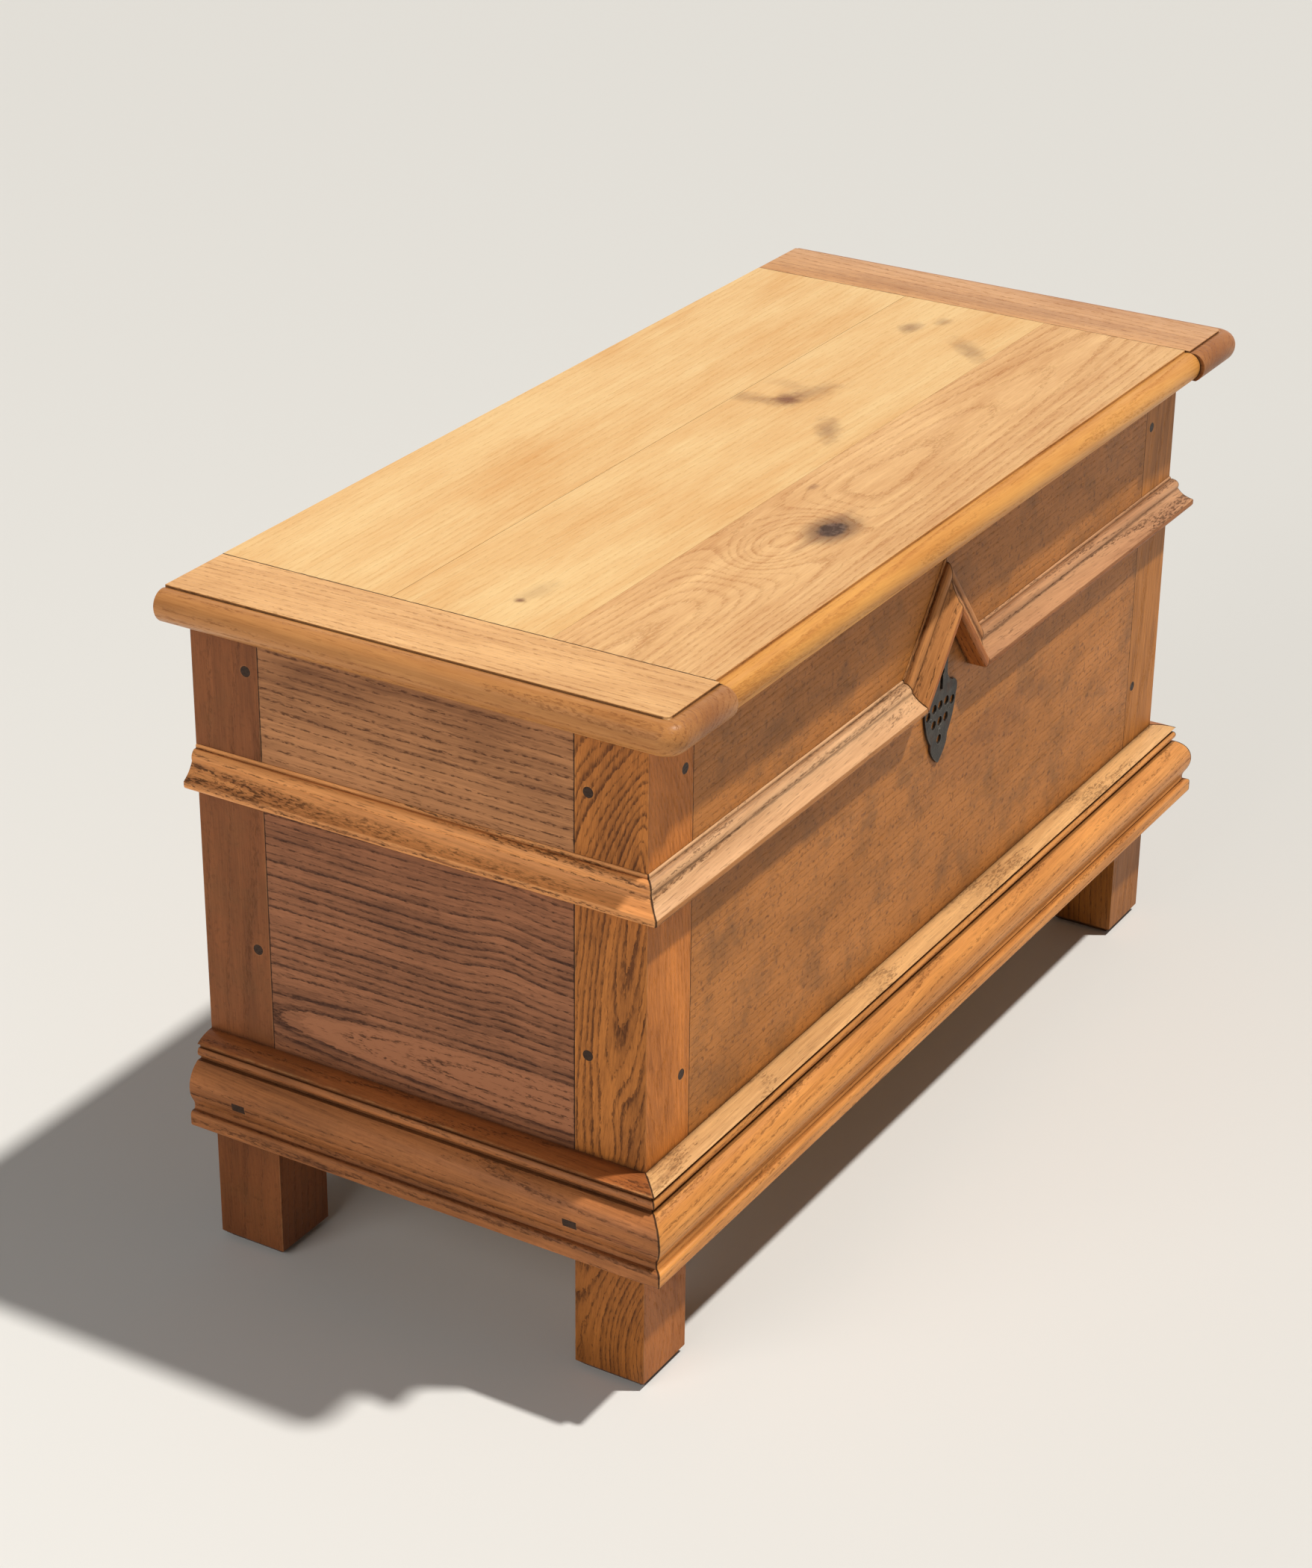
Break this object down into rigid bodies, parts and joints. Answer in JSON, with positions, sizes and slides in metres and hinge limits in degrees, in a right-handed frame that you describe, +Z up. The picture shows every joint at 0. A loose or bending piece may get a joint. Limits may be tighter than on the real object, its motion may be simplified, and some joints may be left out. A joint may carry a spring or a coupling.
{
  "type": "blanket chest",
  "caption": "Joined oak blanket chest on square post feet with deep base moulding, mid moulding raised in a chevron over a pierced iron escutcheon, and a hinged clamped lid.",
  "frame": {"origin": "on the floor under the middle of the overall box, lid overhang and hinge barrels included", "axes": "+X along the front from left to right, the front faces -Y, +Z up"},
  "size_m": [0.964, 0.446, 0.571],
  "materials": {
    "oak_case": "old wax polish, brown",
    "oak_inside": "bare, dusty oak",
    "oak_moulding": "old wax polish, golden brown",
    "oak_lid": "old wax polish, golden brown, worn",
    "oak_peg": "dark end grain",
    "iron": "dark forged iron, dull"
  },
  "bodies": {
    "case": {"post_front_left": "oak_case", "post_front_right": "oak_case", "post_rear_left": "oak_case", "post_rear_right": "oak_case", "front_upper_board": "oak_case", "front_lower_board": "oak_case", "back_upper_board": "oak_case", "back_lower_board": "oak_case", "left_upper_board": "oak_case", "left_lower_board": "oak_case", "right_upper_board": "oak_case", "right_lower_board": "oak_case", "bearer_front": "oak_inside", "bearer_rear": "oak_inside", "bearer_left": "oak_inside", "bearer_right": "oak_inside", "floor_board_front": "oak_inside", "floor_board_middle": "oak_inside", "floor_board_rear": "oak_inside", "base_moulding_front": "oak_moulding", "base_moulding_left": "oak_moulding", "base_moulding_right": "oak_moulding", "mid_moulding_left": "oak_moulding", "mid_moulding_right": "oak_moulding", "mid_moulding_front_left": "oak_moulding", "mid_moulding_front_right": "oak_moulding", "chevron_arm_left": "oak_moulding", "chevron_arm_right": "oak_moulding", "pegs_front": "oak_peg", "pegs_back": "oak_peg", "pegs_left": "oak_peg", "pegs_right": "oak_peg", "moulding_plugs_left": "oak_peg", "moulding_plugs_right": "oak_peg", "escutcheon": "iron", "escutcheon_pins": "iron", "floor_nails": "iron", "lock_plate": "iron", "lock_case": "iron", "lock_screws": "iron", "hinge_left_case_leaf": "iron", "hinge_right_case_leaf": "iron", "hinge_left_pin": "iron", "hinge_right_pin": "iron", "hinge_case_screws": "iron"},
    "lid": {"lid_board_rear": "oak_lid", "lid_board_middle": "oak_lid", "lid_board_front": "oak_lid", "clamp_left": "oak_lid", "clamp_right": "oak_lid", "hinge_left_lid_leaf": "iron", "hinge_right_lid_leaf": "iron", "hinge_lid_screws": "iron", "lid_staple": "iron", "lid_staple_screws": "iron"},
    "lock_bolt": {"lock_bolt": "iron"}
  },
  "joints": [
    {"name": "lid_hinge", "type": "hinge", "parent": "case", "child": "lid", "pos_m": [0, 0.2193, 0.545], "axis": [-1, 0, 0], "range_deg": [0, 100]},
    {"name": "lock_bolt_slide", "type": "slide", "parent": "case", "child": "lock_bolt", "axis": [1, 0, 0], "range_m": [0, 0.012]}
  ]
}
